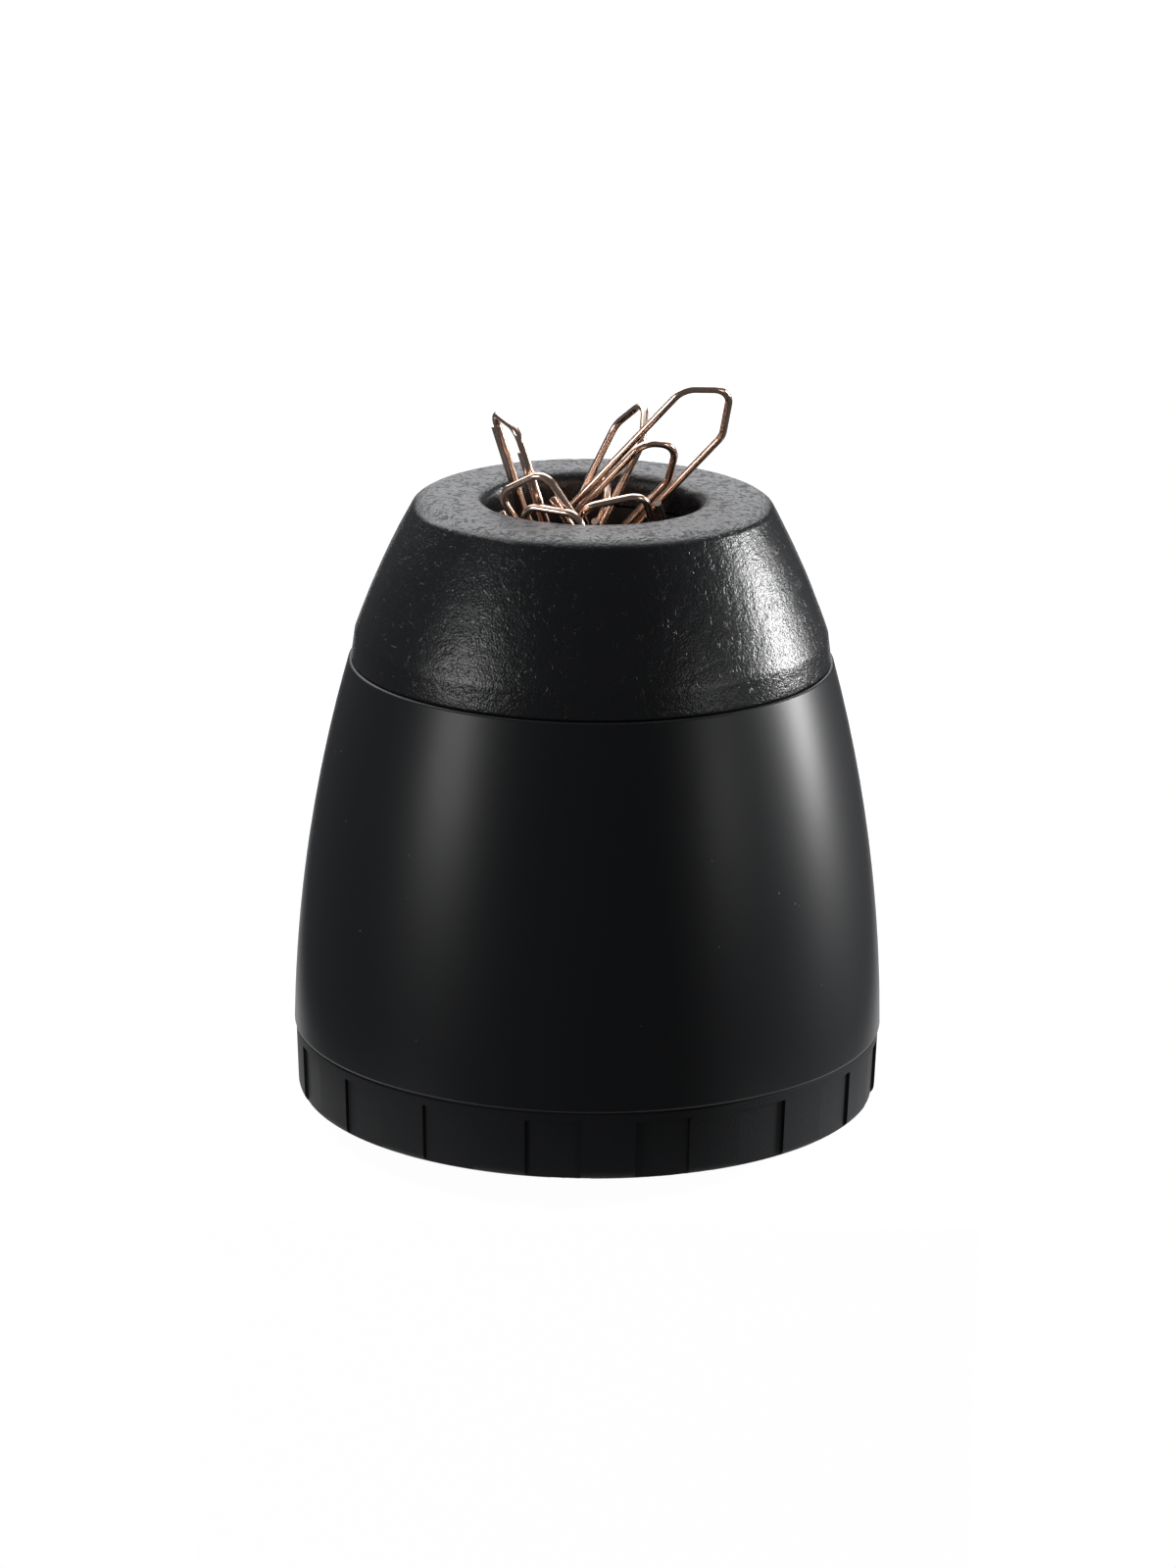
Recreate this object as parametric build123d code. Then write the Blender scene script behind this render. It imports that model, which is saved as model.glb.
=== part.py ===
from build123d import *
import math
import os

# Magnetic paper clip holder. Millimetres, Z up, origin in the middle of the foot where it meets the desk.

# Base cap, the part below the lower seam
BASE_H = 8.8              # height of the lower seam
BASE_STEP = 0.2           # how far the cap stands back from the body at the seam
BASE_DRAFT = 0.3          # how much narrower the cap is at the bottom
BASE_ROUND = 1.2          # rounding of its bottom edge
BASE_WALL = 1.9           # side wall
BASE_FLOOR = 2.4          # floor
GRIP_COUNT = 17           # shallow grip flats round the side
GRIP_ARC = 10.8           # width of one flat, degrees
GRIP_TURN = -6.3          # the first flat's middle, degrees to the right of the front
GRIP_DEPTH = 0.4
GRIP_TOP_GAP = 1.2        # plain band left under the seam

# Foot ring, set into the underside of the base cap
FOOT_INSET = 4.9          # its outer edge, from the cap's side
FOOT_W = 5.0
FOOT_PROUD = 0.4          # how far it stands out below the cap
FOOT_DEPTH = 1.0          # how far it is let into the cap

# Screw between the base cap and the body: four short ramps outside the neck, four lugs inside the cap
LEAD = 14.0               # drop for one whole turn
RAMP_COUNT = 4
RAMP_ARC = 62.0           # one ramp, degrees
RAMP_H = 1.3
RAMP_DEPTH = 1.2          # how far a ramp stands out from the neck
RAMP_DROP = 3.45          # from the seam down to the middle of a ramp
LUG_ARC = 16.0
LUG_H = 1.2
LUG_SEAT = 20.0           # the lug's middle from the ramp's middle when the cap is closed, degrees
THREAD_GAP = 0.2          # between a lug and the ramp below it
THREAD_SIDE_GAP = 0.35    # between neck and lug, and between ramp and cap
SCREW_NECK_WALL = 2.2
SCREW_NECK_GAP = 0.5      # between the neck's lower edge and the cap's floor

# Ballast disc, lying on the cap's floor
BALLAST_H = 3.0
BALLAST_SIDE_GAP = 0.8    # to the neck around it
BOSS_R = 4.0              # pin in the middle of the cap that the disc sits on
BOSS_SHORT = 0.4          # how far the pin stays below the disc's top
BOSS_GAP = 0.1

# Body shell
BODY_R = 35.1             # outside radius at the lower seam
BODY_TOP_R = 28.6         # outside radius at the upper seam
BODY_H = 44.6             # from the lower seam to the upper seam
BODY_BULGE = 1.45         # how far the side stands out from a straight line
BODY_WALL = 2.2
SEAM_ROUND = 0.3          # rounding of the edges at the seams
NECK_H = 5.0              # neck that the collar sits round
NECK_WALL = 2.0

# Collar
COLLAR_H = 19.5           # from the upper seam to the flat top
COLLAR_TOP_R = 20.6       # where the side would meet the flat top if it had no rounding
COLLAR_ROUND = 3.5        # that rounding
COLLAR_STEP = 0.15        # how far the lower lip stands back from the body
COLLAR_LIP_H = 3.4
COLLAR_LIP_LEAN = 0.45    # how much narrower the lip is at its top
COLLAR_LIP_ROUND = 0.8    # rounding of its lower edge
COLLAR_BULGE = 0.4        # how far the side stands out from a straight line
COLLAR_WALL = 2.9         # at the lip
COLLAR_PLATE = 4.0        # thickness of the flat top
COLLAR_FIT = 0.3          # gap between the collar and the body's neck

# Throat, magnet and the sleeve that keeps it
THROAT_R = 12.5
THROAT_ROUND = 1.2        # rounding of the throat's upper edge
SLEEVE_WALL = 0.8
SLEEVE_GAP = 0.3          # joint line between the collar's lip and the sleeve
FLANGE_H = 1.5
FLANGE_STEP = 1.3         # how far the flange reaches out past the magnet
MAGNET_W = 5.2            # from its bore to its outside
MAGNET_H = 6.0
MAGNET_GAP = 0.15         # around and above the magnet
SKIRT_WALL = 1.5          # wall round the magnet and the flange

# Paper clip: wire bent in its own plane, square single end at zero, pointed double end at the far end
WIRE_R = 0.45
CLIP_L = 26.9             # between the middles of the wire at the two ends, if the outer point had no bend
CLIP_W = 7.6              # between the middles of the two sides of the single end
CLIP_PITCH = 1.2          # from one wire to the next beside it
CLIP_INNER = 9.8          # from the outer point to the inner point
CLIP_OUT_END = 2.2        # the outer wire end, from the square end
CLIP_IN_END = 3.2         # the inner wire end, from the square end
BEND_SQUARE = 1.9         # bend radii
BEND_SHOULDER = 2.6
BEND_POINT = 2.2
BENT_SHIFT = 0.43         # how far a bent point moves to the side, as a share of the bend of its shoulders

# Each clip in the throat: the middle of its upper end as x, y and rise above the collar's flat top, then the
# bearing that it leans towards, its lean and its spin about its own length in degrees, and which end is up.
# The tall one has been bent in use: one shoulder of its points stands higher, and the other lower, by the last value
CLIPS = {
    "clip_left": (-10.3, -5.4, 10.2, 212.0, 19.5, 79.5, "square"),
    "clip_tall": (15.5, 1.1, 12.9, 339.5, 42.0, 42.0, "point", 1.5),
    "clip_front_right": (2.2, -8.8, 1.5, 254.5, 44.0, 289.5, "square"),
    "clip_back": (6.1, 9.3, 9.4, 16.0, 27.0, 275.0, "point"),
    "clip_front_left": (-8.3, -8.2, 3.5, 180.0, 33.5, 148.5, "square"),
    "clip_front_low": (-4.7, -10.5, 0.8, 245.5, 16.0, 86.0, "square"),
}

OUT = "parts"


def turned(*edges):
    """Solid of revolution about Z from a closed outline whose points are (radius, height)."""
    return revolve(make_face(Plane.XZ * (Curve() + list(edges))), Axis.Z)


def outline(*points):
    """Closed straight outline."""
    return Polyline(*points, close=True)


def ring(r_in, r_out, z0, z1):
    return turned(outline((r_in, z0), (r_out, z0), (r_out, z1), (r_in, z1)))


def disc(r, z0, z1):
    return Pos(0, 0, z0) * Cylinder(r, z1 - z0, align=(Align.CENTER, Align.CENTER, Align.MIN))


def sector(r_in, r_out, z0, z1, arc, middle):
    """Piece of a ring, arc degrees wide, with its middle turned from +X."""
    face = make_face(Plane.XZ * outline((r_in, z0), (r_out, z0), (r_out, z1), (r_in, z1)))
    return Rot(0, 0, middle - arc / 2) * revolve(face, Axis.Z, revolution_arc=arc)


def edge_at(solid, r, z):
    """The round edges of a turned solid at one radius and height."""
    def fits(e):
        c = e.center(CenterOf.BOUNDING_BOX)
        return abs(e.radius - r) < 0.02 and abs(c.Z - z) < 0.02
    return [e for e in solid.edges().filter_by(GeomType.CIRCLE) if fits(e)]


# Sizes that follow from the ones above
base_r = BODY_R - BASE_STEP
cap_bottom = FOOT_PROUD
floor_top = cap_bottom + BASE_FLOOR
cap_bore = base_r - BASE_WALL
foot_r = base_r - FOOT_INSET
ramp_r = cap_bore - THREAD_SIDE_GAP
ramp_z = BASE_H - RAMP_DROP
screw_neck_r = ramp_r - RAMP_DEPTH
screw_bore = screw_neck_r - SCREW_NECK_WALL
neck_bottom = floor_top + SCREW_NECK_GAP
lug_r = screw_neck_r + THREAD_SIDE_GAP
lug_z = ramp_z + RAMP_H / 2 + THREAD_GAP + LUG_H / 2 + LEAD * LUG_SEAT / 360
ballast_r = screw_bore - BALLAST_SIDE_GAP
body_top = BASE_H + BODY_H
neck_top = body_top + NECK_H
lip_r = BODY_TOP_R - COLLAR_STEP
lip_top_r = lip_r - COLLAR_LIP_LEAN
lip_top = body_top + COLLAR_LIP_H
collar_bore = lip_r - COLLAR_WALL
neck_r = collar_bore - COLLAR_FIT
collar_top = body_top + COLLAR_H
plate_z = collar_top - COLLAR_PLATE
sleeve_r = THROAT_R + SLEEVE_WALL
magnet_bore = sleeve_r + MAGNET_GAP
magnet_r = magnet_bore + MAGNET_W
magnet_top = plate_z - MAGNET_GAP
magnet_bottom = magnet_top - MAGNET_H
skirt_bore = magnet_r + MAGNET_GAP
flange_r = skirt_bore + FLANGE_STEP
flange_bottom = magnet_bottom - FLANGE_H
skirt_r = flange_r + MAGNET_GAP + SKIRT_WALL


def slanted(r_in, r_out, mid_z, height, arc, middle):
    """Piece of a ring whose flat top and bottom climb by LEAD per turn: one ramp or lug of the screw."""
    span = 4 * r_out
    climb = math.degrees(math.atan(LEAD / (2 * math.pi * (r_in + r_out) / 2)))
    slab = Rot(0, 0, middle) * Pos(0, 0, mid_z) * Rot(climb, 0, 0) * Box(span, span, height)
    return sector(r_in, r_out, mid_z - span, mid_z + span, arc, middle) & slab


def body_shell():
    outer = SagittaArc((BODY_R, BASE_H), (BODY_TOP_R, body_top), -BODY_BULGE)
    solid = turned(outer, Polyline((BODY_TOP_R, body_top), (0, body_top), (0, BASE_H), (BODY_R, BASE_H)))
    solid = fillet(edge_at(solid, BODY_TOP_R, body_top) + edge_at(solid, BODY_R, BASE_H), SEAM_ROUND)
    low, high = BASE_H + BODY_WALL, body_top - BODY_WALL
    in_r, in_top_r = BODY_R - BODY_WALL, BODY_TOP_R - BODY_WALL
    inner = SagittaArc((in_r, low), (in_top_r, high), -BODY_BULGE)
    room = turned(inner, Polyline((in_top_r, high), (0, high), (0, low), (in_r, low)))
    solid += disc(neck_r, high, neck_top) + disc(screw_neck_r, neck_bottom, low)
    solid = solid - room - disc(neck_r - NECK_WALL, high, neck_top) - disc(screw_bore, neck_bottom, low)
    for i in range(RAMP_COUNT):
        solid += slanted(screw_neck_r - SCREW_NECK_WALL / 2, ramp_r, ramp_z, RAMP_H, RAMP_ARC, i * 360 / RAMP_COUNT)
    return solid


def base_cap():
    low_r = base_r - BASE_DRAFT
    grip_top = BASE_H - GRIP_TOP_GAP
    solid = turned(outline((0, cap_bottom), (low_r, cap_bottom), (base_r, BASE_H), (0, BASE_H)))
    solid = fillet(edge_at(solid, low_r, cap_bottom), BASE_ROUND)
    solid = chamfer(edge_at(solid, base_r, BASE_H), SEAM_ROUND)
    solid -= disc(cap_bore, floor_top, BASE_H)
    solid -= ring(foot_r - FOOT_W, foot_r, cap_bottom, cap_bottom + FOOT_DEPTH)
    flat = outline((low_r - GRIP_DEPTH, 0), (BODY_R, 0), (BODY_R, grip_top), (base_r - GRIP_DEPTH, grip_top))
    cutter = revolve(make_face(Plane.XZ * flat), Axis.Z, revolution_arc=GRIP_ARC)
    for i in range(GRIP_COUNT):
        solid -= Rot(0, 0, GRIP_TURN - 90 - GRIP_ARC / 2 + i * 360 / GRIP_COUNT) * cutter
    for i in range(RAMP_COUNT):
        middle = LUG_SEAT + i * 360 / RAMP_COUNT
        solid += slanted(lug_r, cap_bore + BASE_WALL / 2, lug_z, LUG_H, LUG_ARC, middle)
    return solid + disc(BOSS_R, floor_top, floor_top + BALLAST_H - BOSS_SHORT)


def collar():
    side = SagittaArc((lip_top_r, lip_top), (COLLAR_TOP_R, collar_top), -COLLAR_BULGE)
    rest = Polyline((COLLAR_TOP_R, collar_top), (0, collar_top), (0, body_top), (lip_r, body_top), (lip_top_r, lip_top))
    solid = turned(side, rest)
    solid = fillet(edge_at(solid, COLLAR_TOP_R, collar_top), COLLAR_ROUND)
    solid = fillet(edge_at(solid, lip_r, body_top), COLLAR_LIP_ROUND)
    room = turned(outline((0, body_top), (collar_bore, body_top), (collar_bore, neck_top + COLLAR_FIT),
                          (skirt_r, plate_z), (0, plate_z)))
    solid = solid - room - disc(THROAT_R, plate_z, collar_top)
    solid = fillet(edge_at(solid, THROAT_R, collar_top), THROAT_ROUND)
    skirt = ring(skirt_bore, skirt_r, flange_bottom, plate_z)
    return solid + (skirt - disc(flange_r + MAGNET_GAP, flange_bottom, magnet_bottom))


def ring_magnet():
    return ring(magnet_bore, magnet_r, magnet_bottom, magnet_top)


def magnet_retainer():
    sleeve = ring(THROAT_R, sleeve_r, flange_bottom, plate_z - SLEEVE_GAP)
    return sleeve + ring(THROAT_R, flange_r, flange_bottom, magnet_bottom)


def ballast_disc():
    return ring(BOSS_R + BOSS_GAP, ballast_r, floor_top, floor_top + BALLAST_H)


def foot_ring():
    return ring(foot_r - FOOT_W, foot_r, 0, cap_bottom + FOOT_DEPTH)


def bent_path(points, radii):
    """Wire path through the points, each inner corner an arc of its own radius."""
    corners = [Vector(*p) for p in points]
    edges = []
    start = corners[0]
    for before, corner, after, r in zip(corners, corners[1:], corners[2:], radii):
        to_before = (before - corner).normalized()
        to_after = (after - corner).normalized()
        half = math.radians(to_before.get_angle(to_after)) / 2
        reach = r / math.tan(half)
        first = corner + to_before * reach
        last = corner + to_after * reach
        middle = corner + (to_before + to_after).normalized() * (r / math.sin(half) - r)
        edges.append(Line(start, first))
        edges.append(ThreePointArc(first, middle, last))
        start = last
    edges.append(Line(start, corners[-1]))
    return Wire(edges)


def clip(up, bent):
    """One clip hanging down from its upper end, which is at the origin."""
    out_w = CLIP_W + CLIP_PITCH
    in_w = CLIP_W - CLIP_PITCH
    left, right = -CLIP_W / 2, CLIP_W / 2
    middle = -CLIP_PITCH / 2
    point_x = middle + BENT_SHIFT * bent
    outer = CLIP_L - out_w / 2
    inner = CLIP_L - CLIP_INNER - in_w / 2
    flat = [(left - CLIP_PITCH, CLIP_OUT_END), (left - CLIP_PITCH, outer + bent), (point_x, CLIP_L),
            (right, outer - bent), (right, 0), (left, 0), (left, inner + bent), (point_x, CLIP_L - CLIP_INNER),
            (right - CLIP_PITCH, inner - bent), (right - CLIP_PITCH, CLIP_IN_END)]
    loop = [BEND_SHOULDER, BEND_POINT, BEND_SHOULDER]
    radii = loop + [BEND_SQUARE, BEND_SQUARE] + loop
    if up == "square":
        points = [(x, 0, -y) for x, y in flat]
    else:
        points = [(x - middle, 0, y - CLIP_L) for x, y in flat]
    path = bent_path(points, radii)
    return sweep(Plane(path @ 0, z_dir=path % 0) * Circle(WIRE_R), path=path)


def placed_clip(x, y, rise, bearing, lean, spin, up, bent=0.0):
    return Pos(x, y, collar_top + rise) * Rot(0, 0, bearing) * Rot(0, lean, 0) * Rot(0, 0, spin) * clip(up, bent)


nodes = {
    "body_shell": body_shell(),
    "base_cap": base_cap(),
    "ballast_disc": ballast_disc(),
    "foot_ring": foot_ring(),
    "collar": collar(),
    "ring_magnet": ring_magnet(),
    "magnet_retainer": magnet_retainer(),
}
for name, place in CLIPS.items():
    nodes[name] = placed_clip(*place)

os.makedirs(OUT, exist_ok=True)
for name, solid in nodes.items():
    solid.label = name
    export_step(solid, os.path.join(OUT, name + ".step"))
    box = solid.bounding_box()
    print(name, "solids", len(solid.solids()), "volume", round(solid.volume, 1), "z", round(box.min.Z, 2), round(box.max.Z, 2))
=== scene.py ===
import math

import bmesh
import bpy
from mathutils import Euler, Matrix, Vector, noise


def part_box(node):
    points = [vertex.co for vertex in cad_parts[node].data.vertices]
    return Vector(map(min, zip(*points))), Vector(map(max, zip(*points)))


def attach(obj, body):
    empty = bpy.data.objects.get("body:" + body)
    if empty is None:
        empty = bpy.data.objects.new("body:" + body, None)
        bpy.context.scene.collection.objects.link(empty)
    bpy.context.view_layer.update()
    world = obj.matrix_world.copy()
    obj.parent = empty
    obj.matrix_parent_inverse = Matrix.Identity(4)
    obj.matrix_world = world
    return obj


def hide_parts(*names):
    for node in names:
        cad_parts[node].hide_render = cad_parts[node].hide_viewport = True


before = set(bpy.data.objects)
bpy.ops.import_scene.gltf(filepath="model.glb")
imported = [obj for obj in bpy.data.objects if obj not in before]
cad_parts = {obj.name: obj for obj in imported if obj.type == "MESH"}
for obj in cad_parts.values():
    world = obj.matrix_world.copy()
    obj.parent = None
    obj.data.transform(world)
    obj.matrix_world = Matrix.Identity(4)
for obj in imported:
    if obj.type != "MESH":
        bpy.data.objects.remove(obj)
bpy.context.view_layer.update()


# Base cap
# The screw cap that closes the body from below, moulded in black plastic with a fine matte grain. Shallow
# recessed grips round its side give fingers a hold to unscrew it.

MM = 0.001
CAP_BLACK = (0.021, 0.022, 0.024, 1)
CAP_DUSTY = (0.026, 0.027, 0.029, 1)
CAP_GRAIN_DEPTH = 0.02 * MM


class Value:
    """A socket in a finish's nodes. Arithmetic on values adds Math nodes."""

    def __init__(self, finish, socket):
        self.finish = finish
        self.socket = socket

    def math(self, operation, first, second):
        return self.finish.node("ShaderNodeMath", {"operation": operation}, {0: first, 1: second})

    def __add__(self, other):
        return self.math("ADD", self, other)

    def __sub__(self, other):
        return self.math("SUBTRACT", self, other)

    def __rsub__(self, other):
        return self.math("SUBTRACT", other, self)

    def __mul__(self, other):
        return self.math("MULTIPLY", self, other)

    def __abs__(self):
        return self.math("ABSOLUTE", self, 0.0)

    __radd__ = __add__
    __rmul__ = __mul__


class Finish:
    """A material of one shader, whose sockets take fixed numbers or the values of texture nodes."""

    def __init__(self, name, **fixed):
        self.material = bpy.data.materials.new(name)
        self.material.use_nodes = True
        self.tree = self.material.node_tree
        self.shader = self.tree.nodes["Principled BSDF"]
        self.place = self.node("ShaderNodeTexCoord", {}, {}, "Object")
        for socket, value in fixed.items():
            self.set(socket.replace("_", " "), value)

    def set(self, socket, value):
        self.feed(self.shader.inputs[socket], value)

    def feed(self, socket, value):
        if isinstance(value, Value):
            self.tree.links.new(value.socket, socket)
        else:
            socket.default_value = value

    def node(self, kind, settings, sockets, output=0):
        """Adds a node, sets it up and gives one of its outputs."""
        new = self.tree.nodes.new(kind)
        for name, setting in settings.items():
            setattr(new, name, setting)
        for key, value in sockets.items():
            self.feed(new.inputs[key], value)
        return Value(self, new.outputs[output])

    def noise(self, per_metre, detail, distortion=0.0):
        spread = {"Vector": self.place, "Scale": per_metre, "Detail": detail, "Distortion": distortion}
        return self.node("ShaderNodeTexNoise", {}, spread)

    def cells(self, per_metre):
        return self.node("ShaderNodeTexVoronoi", {}, {"Vector": self.place, "Scale": per_metre})

    def ramp(self, value, low, high):
        """0 at low and 1 at high, smooth between them and level past them."""
        limits = {"Value": value, "From Min": low, "From Max": high}
        return self.node("ShaderNodeMapRange", {"interpolation_type": "SMOOTHSTEP"}, limits)

    def blend(self, share, first, second):
        """From the first colour to the second one as share goes from 0 to 1."""
        return self.node("ShaderNodeMix", {"data_type": "RGBA"}, {0: share, 6: first, 7: second}, 2)

    def bump(self, height, depth):
        return self.node("ShaderNodeBump", {}, {"Height": height, "Distance": depth, "Strength": 1.0})


def dress(node, finish):
    """Gives a CAD node a finish of its own."""
    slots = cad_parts[node].data.materials
    slots.clear()
    slots.append(finish.material)


cap_finish = Finish("matte cap", Specular_IOR_Level=0.12)
cap_grain = cap_finish.noise(2600, 3)
patches = cap_finish.noise(90, 4)
cap_finish.set("Base Color", cap_finish.blend(patches * cap_grain, CAP_BLACK, CAP_DUSTY))
cap_finish.set("Roughness", 0.5 + 0.14 * patches)
cap_finish.set("Normal", cap_finish.bump(cap_grain, CAP_GRAIN_DEPTH))
dress("base_cap", cap_finish)


# Foot ring
# A soft rubber ring, moulded in one piece and pressed into the groove under the cap. It stands a little
# proud, so that the holder doesn't slide on the desk.

RUBBER = (0.022, 0.022, 0.023, 1)
RUBBER_WORN = (0.045, 0.044, 0.043, 1)
RUBBER_GRAIN_DEPTH = 0.03 * MM
foot_finish = Finish("foot rubber", Specular_IOR_Level=0.3)
scuffs = foot_finish.noise(420, 5, 0.6)
worn = foot_finish.ramp(scuffs, 0.5, 0.75)
foot_finish.set("Base Color", foot_finish.blend(worn, RUBBER, RUBBER_WORN))
foot_finish.set("Roughness", 0.7 + 0.2 * scuffs)
foot_finish.set("Normal", foot_finish.bump(foot_finish.noise(3000, 2), RUBBER_GRAIN_DEPTH))
dress("foot_ring", foot_finish)


# Ballast disc
# A plain steel disc with turned faces. It lies on the cap's floor, round a pin, and keeps the holder from
# tipping when a clip is pulled.

STEEL = (0.50, 0.50, 0.51, 1)
STEEL_DULL = (0.36, 0.35, 0.34, 1)
TURNING_PER_METRE = 9000.0
TURNING_DEPTH = 0.01 * MM
ballast_finish = Finish("turned steel", Metallic=1.0)
from_axis = ballast_finish.node(
    "ShaderNodeVectorMath", {"operation": "LENGTH"}, {0: ballast_finish.place}, "Value")
turning = ballast_finish.node(
    "ShaderNodeTexNoise", {"noise_dimensions": "1D"}, {"W": from_axis, "Scale": TURNING_PER_METRE})
stains = ballast_finish.noise(160, 4)
ballast_finish.set("Base Color", ballast_finish.blend(stains, STEEL, STEEL_DULL))
ballast_finish.set("Roughness", 0.28 + 0.2 * turning)
ballast_finish.set("Normal", ballast_finish.bump(turning, TURNING_DEPTH))
dress("ballast_disc", ballast_finish)


# Body shell
# The bell-shaped body, moulded in black plastic and sprayed with a smooth satin lacquer that has a very fine
# orange peel and carries a little dust. The base screws on below it, and the collar sits round its neck.

BODY_BLACK = (0.0165, 0.0175, 0.0195, 1)
DUST = (0.11, 0.11, 0.115, 1)
PEEL_DEPTH = 0.003 * MM
body_finish = Finish("satin lacquer", Specular_IOR_Level=0.28)
peel = body_finish.noise(1500, 2)
cloud = body_finish.noise(60, 3)
dusty_places = body_finish.ramp(body_finish.noise(70, 1), 0.60, 0.64)
specks = body_finish.ramp(body_finish.cells(330), 0.052, 0.03) * dusty_places
body_finish.set("Base Color", body_finish.blend(specks, BODY_BLACK, DUST))
body_finish.set("Roughness", 0.33 + 0.04 * cloud + 0.3 * specks)
body_finish.set("Normal", body_finish.bump(peel, PEEL_DEPTH))
dress("body_shell", body_finish)


# Throat
# The sleeve that lines the throat is plain moulded plastic, pushed into the collar from below. It keeps up
# the ring magnet behind it, which is grey sintered ferrite.

SLEEVE_BLACK = (0.009, 0.009, 0.010, 1)
SLEEVE_RUBBED = (0.022, 0.022, 0.023, 1)
SLEEVE_GRAIN_DEPTH = 0.01 * MM
sleeve_finish = Finish("throat sleeve", Specular_IOR_Level=0.4)
rubbed = sleeve_finish.noise(260, 4, 0.4)
sleeve_finish.set("Base Color", sleeve_finish.blend(rubbed, SLEEVE_BLACK, SLEEVE_RUBBED))
sleeve_finish.set("Roughness", 0.42 + 0.2 * rubbed)
sleeve_finish.set("Normal", sleeve_finish.bump(sleeve_finish.noise(2000, 2), SLEEVE_GRAIN_DEPTH))
dress("magnet_retainer", sleeve_finish)

FERRITE = (0.045, 0.045, 0.050, 1)
FERRITE_CHIPPED = (0.10, 0.10, 0.105, 1)
SINTER_DEPTH = 0.04 * MM
ferrite_finish = Finish("ferrite", Specular_IOR_Level=0.5)
sinter = ferrite_finish.noise(1800, 4)
chipped = ferrite_finish.ramp(sinter, 0.5, 0.7)
ferrite_finish.set("Base Color", ferrite_finish.blend(chipped, FERRITE, FERRITE_CHIPPED))
ferrite_finish.set("Roughness", 0.55 + 0.25 * sinter)
ferrite_finish.set("Normal", ferrite_finish.bump(sinter, SINTER_DEPTH))
dress("ring_magnet", ferrite_finish)


# Collar
# The top piece, which lifts off the body's neck. Its side has a glossy coat that dried in fine wrinkles, and
# its flat top is duller and pitted, greyed with dust and a painted sheen, with painted shade in its pits. The
# coarse unevenness is in the mesh, the finest in the finish.

LIP_LEAN = 0.45 * MM
LIP_HEIGHT = 3.4 * MM
LIP_ROUND = 0.35 * MM
SIDE_BOW = 0.4 * MM
SIDE_CUTS = 12
TOP_RADIUS = 20.6 * MM
TOP_ROUND = 3.5 * MM
THROAT_RADIUS = 12.5 * MM
THROAT_ROUND = 1.8 * MM
SLEEVE_GAP = 0.3 * MM
SKIRT_RADIUS = 21.75 * MM
SKIRT_WALL = 1.5 * MM
SKIRT_DEPTH = 7 * MM
BORE_RADIUS = 25.55 * MM
BORE_HEIGHT = 5.3 * MM
LIP_INSIDE = 1.5 * MM
MESH_STEP = 0.5 * MM
STEP_RADIUS_SHARE = 0.9
ROUND_SEGMENTS = 8
MERGE = 0.00001 * MM
SHARP_ANGLE = 40


def outline(bm, corners):
    """Closed outline in the XZ plane from (radius, height) corners. Gives its corner vertices."""
    verts = [bm.verts.new((r, 0, z)) for r, z in corners]
    for first, second in zip(verts, verts[1:] + verts[:1]):
        bm.edges.new((first, second))
    return verts


def round_corner(bm, place, radius):
    """Rounds the corner of an outline at a (radius, height) place, which may turn by any angle."""
    corner = min(bm.verts, key=lambda v: (v.co - Vector((place[0], 0, place[1]))).length)
    before, after = (edge.other_vert(corner).co - corner.co for edge in corner.link_edges)
    reach = radius / math.tan(before.angle(after) / 2)
    bmesh.ops.bevel(bm, geom=[corner], offset=reach, offset_type="OFFSET", segments=ROUND_SEGMENTS,
                    profile=0.5, affect="VERTICES", material=-1)


def bow(bm, edge, height, cuts):
    """Makes a straight edge of an outline stand out from the axis by height in its middle."""
    start, along = edge.verts[0].co.copy(), edge.verts[1].co - edge.verts[0].co
    out = Vector((abs(along.z), 0, abs(along.x))).normalized()
    for made in bmesh.ops.subdivide_edges(bm, edges=[edge], cuts=cuts)["geom_inner"]:
        if isinstance(made, bmesh.types.BMVert):
            share = (made.co - start).dot(along) / along.length_squared
            made.co += out * height * 4 * share * (1 - share)


def smooth_piece(bm, name, finish):
    """Makes an object of a bmesh, shaded smooth but for its sharp edges. Normals from the CAD are dropped."""
    mesh = bpy.data.meshes.new(name)
    bm.to_mesh(mesh)
    bm.free()
    if "custom_normal" in mesh.attributes:
        mesh.attributes.remove(mesh.attributes["custom_normal"])
    mesh.shade_smooth()
    mesh.set_sharp_from_angle(angle=math.radians(SHARP_ANGLE))
    mesh.materials.clear()
    mesh.materials.append(finish.material)
    piece = bpy.data.objects.new(name, mesh)
    bpy.context.scene.collection.objects.link(piece)
    return piece


collar_low, collar_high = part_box("collar")
seam_z = collar_low.z
plate_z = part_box("magnet_retainer")[1].z + SLEEVE_GAP
lip_foot = (collar_high.x, seam_z)
lip_top = (collar_high.x - LIP_LEAN, seam_z + LIP_HEIGHT)
top_edge = (TOP_RADIUS, collar_high.z)
throat_edge = (THROAT_RADIUS, collar_high.z)
bm = bmesh.new()
corners = outline(bm, [
    lip_foot, lip_top, top_edge, throat_edge,
    (THROAT_RADIUS, plate_z), (SKIRT_RADIUS - SKIRT_WALL, plate_z),
    (SKIRT_RADIUS - SKIRT_WALL, plate_z - SKIRT_DEPTH), (SKIRT_RADIUS, plate_z - SKIRT_DEPTH),
    (SKIRT_RADIUS, plate_z), (BORE_RADIUS, seam_z + BORE_HEIGHT), (BORE_RADIUS, seam_z)])
bow(bm, bm.edges.get((corners[1], corners[2])), SIDE_BOW, SIDE_CUTS)
for place, radius in ((lip_foot, LIP_ROUND), (top_edge, TOP_ROUND), (throat_edge, THROAT_ROUND)):
    round_corner(bm, place, radius)
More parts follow.
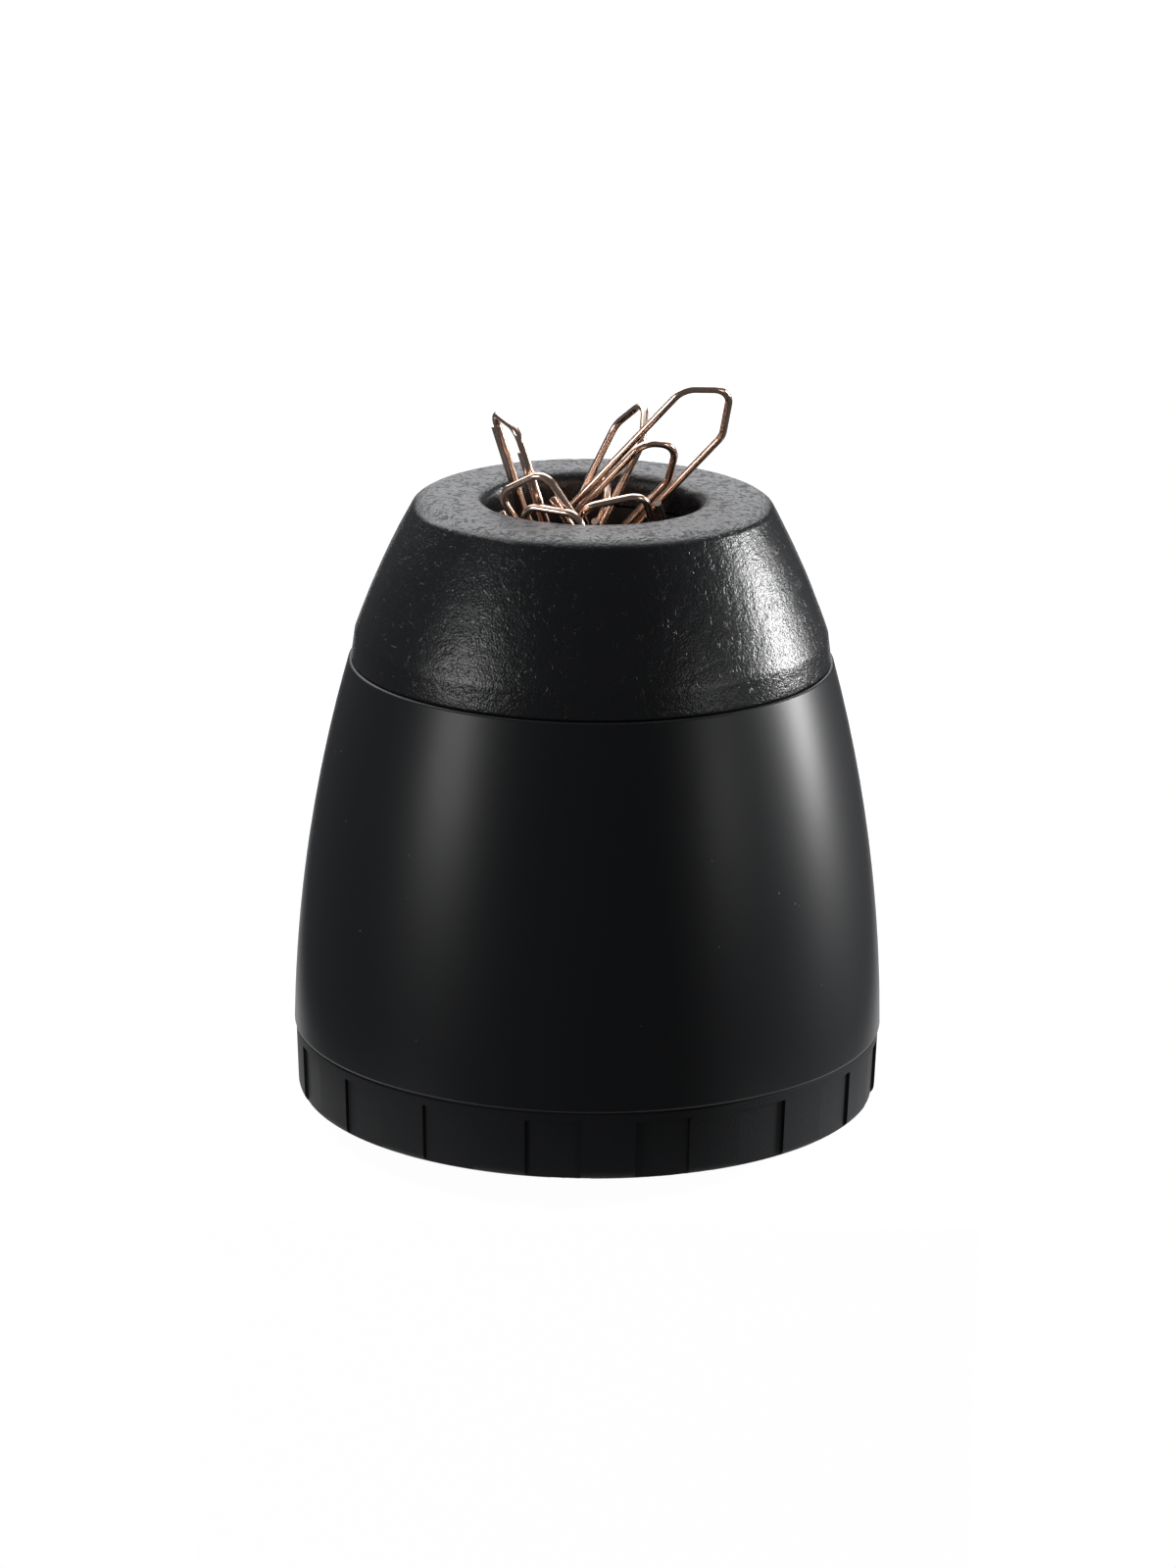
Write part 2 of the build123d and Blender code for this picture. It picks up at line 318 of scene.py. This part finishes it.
fine = [edge for edge in bm.edges
        if all(v.co.z > lip_top[1] or v.co.x > BORE_RADIUS + LIP_INSIDE for v in edge.verts)]
for edge in fine:
    cuts = int(edge.calc_length() / MESH_STEP)
    if cuts:
        bmesh.ops.subdivide_edges(bm, edges=[edge], cuts=cuts)
steps = int(math.tau * STEP_RADIUS_SHARE * collar_high.x / MESH_STEP)
bmesh.ops.spin(bm, geom=bm.verts[:] + bm.edges[:], cent=(0, 0, 0), axis=(0, 0, 1), dvec=(0, 0, 0),
               angle=math.tau, steps=steps, use_merge=True, use_normal_flip=False, use_duplicate=False)
bmesh.ops.remove_doubles(bm, verts=bm.verts, dist=MERGE)
bmesh.ops.recalc_face_normals(bm, faces=bm.faces)
bm.normal_update()

LUMPS_PER_MM = 0.3
LUMP_HEIGHT = 0.03 * MM
PITS_PER_MM = 0.9
PIT_PLACE = Vector((7, 3, 5))
PIT_START = 0.4
PIT_DEPTH = 0.16 * MM
PITS_ON_SIDE = 0.15
FLAT_FROM = 0.85
FLAT_RANGE = 0.1
THROAT_MARGIN = 0.1 * MM
for v in bm.verts:
    spot = v.co / MM
    if v.co.z > lip_top[1] and math.hypot(v.co.x, v.co.y) > THROAT_RADIUS + THROAT_MARGIN:
        flatness = min(1.0, max(0.0, v.normal.z - FLAT_FROM) / FLAT_RANGE)
        lumps = noise.fractal(spot * LUMPS_PER_MM, 1.0, 2.0, 2)
        pit = max(0.0, noise.noise(spot * PITS_PER_MM + PIT_PLACE) - PIT_START)
        v.co += v.normal * (LUMP_HEIGHT * lumps - PIT_DEPTH * pit * (PITS_ON_SIDE + flatness))

COLLAR_BLACK = (0.0130, 0.0138, 0.0155, 1)
# The flat top's lighter bluish grey is partly dust and partly a painted sheen.
COLLAR_DUST_AND_SHEEN = (0.050, 0.054, 0.064, 1)
COAT_DEPTH = 0.048 * MM
collar_finish = Finish("wrinkled coat", Specular_IOR_Level=0.5)
facing = collar_finish.node("ShaderNodeNewGeometry", {}, {}, "Normal")
upward = collar_finish.node("ShaderNodeSeparateXYZ", {}, {0: facing}, "Z")
top = collar_finish.ramp(upward, 0.75, 0.97)
emboss = collar_finish.noise(3900, 2, 0.3)
cracks = collar_finish.ramp(abs(collar_finish.noise(520, 2, 1.0) - 0.5), 0.0, 0.03)
cracked_places = collar_finish.ramp(collar_finish.noise(900, 1), 0.5, 0.6)
pits = collar_finish.ramp(collar_finish.noise(1300, 3, 0.9), 0.47, 0.37)
top_grain = collar_finish.noise(2300, 4)
# Painted sheen and shade: the flat top blends towards the dust-and-sheen grey, and the pits get less of it,
# which is painted shade in them.
dust_sheen_and_pit_shade = top * (1 - 0.6 * pits) * top_grain * 1.6
side_relief = emboss - cracks * cracked_places * 0.35
top_relief = top_grain * 4.5 - pits * 2.5
collar_finish.set("Base Color", collar_finish.blend(dust_sheen_and_pit_shade, COLLAR_BLACK, COLLAR_DUST_AND_SHEEN))
collar_finish.set("Roughness", 0.24 + 0.05 * emboss + top * (0.04 + 0.3 * pits))
collar_finish.set("Normal", collar_finish.bump(side_relief * (1 - top) + top_relief * top, COAT_DEPTH))
collar = smooth_piece(bm, "collar_wrinkled", collar_finish)
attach(collar, "top")
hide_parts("collar")


# Paper clips
# Six clips of copper-plated steel wire, each bent with a double pointed end and a single square one. The
# magnet holds them in the throat. Their bright plating has duller spots.

COPPER = (0.94, 0.71, 0.58, 1)
COPPER_DULL = (0.83, 0.58, 0.46, 1)
WIRE_MERGE = 0.001 * MM
clip_finish = Finish("copper wire", Metallic=1.0)
tarnish = clip_finish.noise(300, 3)
dull_spots = clip_finish.ramp(tarnish, 0.35, 0.75)
clip_finish.set("Base Color", clip_finish.blend(dull_spots, COPPER, COPPER_DULL))
clip_finish.set("Roughness", 0.16 + 0.06 * tarnish)
for node in [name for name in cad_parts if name.startswith("clip_")]:
    bm = bmesh.new()
    bm.from_mesh(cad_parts[node].data)
    bm.transform(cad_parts[node].matrix_world)
    bmesh.ops.remove_doubles(bm, verts=bm.verts, dist=WIRE_MERGE)
    bmesh.ops.recalc_face_normals(bm, faces=bm.faces)
    wire = smooth_piece(bm, node + "_wire", clip_finish)
    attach(wire, node)
    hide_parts(node)


# Studio
# A narrow white table with an upright front, which runs into a white backdrop behind. It lies a little below
# the foot, so that the base has room to come down as it unscrews. Five softboxes light the holder.

TABLE_FRONT = -0.04
TABLE_HEIGHT = -0.0026
TABLE_HALF_WIDTH = 0.045
TABLE_LENGTH = 0.99
TABLE_SPREAD = 4
PANEL_HEIGHT = 0.1
SWEEP_RADIUS = 0.25
SWEEP_STEPS = 16
WALL_HEIGHT = 0.18
PAPER = (0.12, 0.12, 0.12, 1)
WHITE = (1, 1, 1, 1)
PAPER_GLOW = 0.97


def only(kind, geometry):
    return [item for item in geometry if isinstance(item, kind)]


def pulled_out(bm, edges, way):
    """Extrudes edges by a vector. Gives the new edges that lie furthest along it."""
    made = bmesh.ops.extrude_edge_only(bm, edges=edges)["geom"]
    verts = only(bmesh.types.BMVert, made)
    bmesh.ops.translate(bm, verts=verts, vec=way)
    return [edge for edge in only(bmesh.types.BMEdge, made) if all(v in verts for v in edge.verts)]


def ray(finish, kind):
    """1 where a ray of this kind looks at the surface, and 0 elsewhere."""
    return finish.node("ShaderNodeLightPath", {}, {}, "Is %s Ray" % kind)


bm = bmesh.new()
front_corners = [(x, TABLE_FRONT, TABLE_HEIGHT) for x in (-TABLE_HALF_WIDTH, TABLE_HALF_WIDTH)]
front = bm.edges.new([bm.verts.new(corner) for corner in front_corners])
pulled_out(bm, [front], (0, 0, -PANEL_HEIGHT))
back = pulled_out(bm, [front], (0, TABLE_LENGTH, 0))
bmesh.ops.scale(bm, verts=back[0].verts, vec=(TABLE_SPREAD, 1, 1))
swept = bmesh.ops.spin(bm, geom=back + list(back[0].verts), axis=(1, 0, 0), dvec=(0, 0, 0),
                       cent=(0, TABLE_FRONT + TABLE_LENGTH, TABLE_HEIGHT + SWEEP_RADIUS),
                       angle=math.radians(90), steps=SWEEP_STEPS, use_duplicate=False)["geom_last"]
pulled_out(bm, only(bmesh.types.BMEdge, swept), (0, 0, WALL_HEIGHT))
bmesh.ops.recalc_face_normals(bm, faces=bm.faces)
mesh = bpy.data.meshes.new("table")
bm.to_mesh(mesh)
bm.free()
table = bpy.data.objects.new("table", mesh)
bpy.context.scene.collection.objects.link(table)
table_finish = Finish("white paper", Roughness=0.9, Specular_IOR_Level=0.1, Base_Color=PAPER)
paper_seen = ray(table_finish, "Camera") + ray(table_finish, "Glossy") + ray(table_finish, "Transmission")
glow = table_finish.node("ShaderNodeEmission", {}, {"Color": WHITE, "Strength": PAPER_GLOW})
lit = Value(table_finish, table_finish.shader.outputs[0])
both = table_finish.node("ShaderNodeAddShader", {}, {0: glow, 1: lit})
shown = table_finish.node("ShaderNodeMixShader", {}, {0: paper_seen, 1: lit, 2: both})
table_finish.feed(table_finish.tree.nodes["Material Output"].inputs["Surface"], shown)
mesh.materials.append(table_finish.material)


def softbox(name, place, aim, width, height, radiance):
    """A rectangular area lamp that faces a point."""
    lamp = bpy.data.lights.new(name, "AREA")
    lamp.shape = "RECTANGLE"
    lamp.size = width
    lamp.size_y = height
    lamp.energy = radiance * math.pi * width * height
    stand = bpy.data.objects.new(name, lamp)
    stand.location = place
    stand.rotation_euler = (Vector(aim) - Vector(place)).to_track_quat("-Z", "Y").to_euler()
    bpy.context.scene.collection.objects.link(stand)


softbox("softbox_right", (0.856, 0.278, 0.20), (0, 0, 0.20), 0.15, 0.36, 48)
softbox("softbox_left", (-0.80, -0.41, 0.21), (0, 0, 0.21), 0.3, 0.26, 9)
softbox("softbox_front_right", (0.763, -0.477, 0.16), (0, 0, 0.16), 0.25, 0.22, 3)
softbox("softbox_back", (-0.12, 0.6, 0.72), (0, 0, 0.05), 1.4, 0.9, 3.5)
softbox("softbox_top", (0, 0.1, 1.0), (0, 0.1, 0), 1.5, 0.34, 1)


class Room(Finish):
    """The world round the table, whose one shader is its background. White to look at, and dim to gloss."""

    def __init__(self, name):
        self.world = bpy.data.worlds.new(name)
        self.world.use_nodes = True
        self.tree = self.world.node_tree
        self.shader = self.tree.nodes["Background"]


ROOM_DIM = (0.05, 0.051, 0.054, 1)
GLOSS_SHARE = 0.03
room = Room("studio")
room_seen = ray(room, "Camera") + ray(room, "Transmission") + GLOSS_SHARE * ray(room, "Glossy")
room.set("Color", room.blend(room_seen, ROOM_DIM, WHITE))
room.set("Strength", 1.0)
bpy.context.scene.world = room.world

CAMERA_PLACE = (0, -0.6614, 0.2338)
CAMERA_PITCH = 16.51
CAMERA_ROLL = 0.63
FOCAL_PIXELS = 5930
SHIFT_PIXELS = -1.8
PHOTO_HEIGHT = 1600
SENSOR = 36.0
camera = bpy.data.cameras.new("camera")
camera.sensor_width = SENSOR
camera.lens = SENSOR * FOCAL_PIXELS / PHOTO_HEIGHT
camera.shift_x = SHIFT_PIXELS / PHOTO_HEIGHT
camera_stand = bpy.data.objects.new("camera", camera)
camera_stand.location = CAMERA_PLACE
level = Euler((math.radians(90 - CAMERA_PITCH), 0, 0)).to_quaternion()
roll = Euler((0, 0, math.radians(CAMERA_ROLL))).to_quaternion()
camera_stand.rotation_euler = (level @ roll).to_euler()
bpy.context.scene.collection.objects.link(camera_stand)
bpy.context.scene.camera = camera_stand
bpy.context.scene.view_settings.view_transform = "Standard"
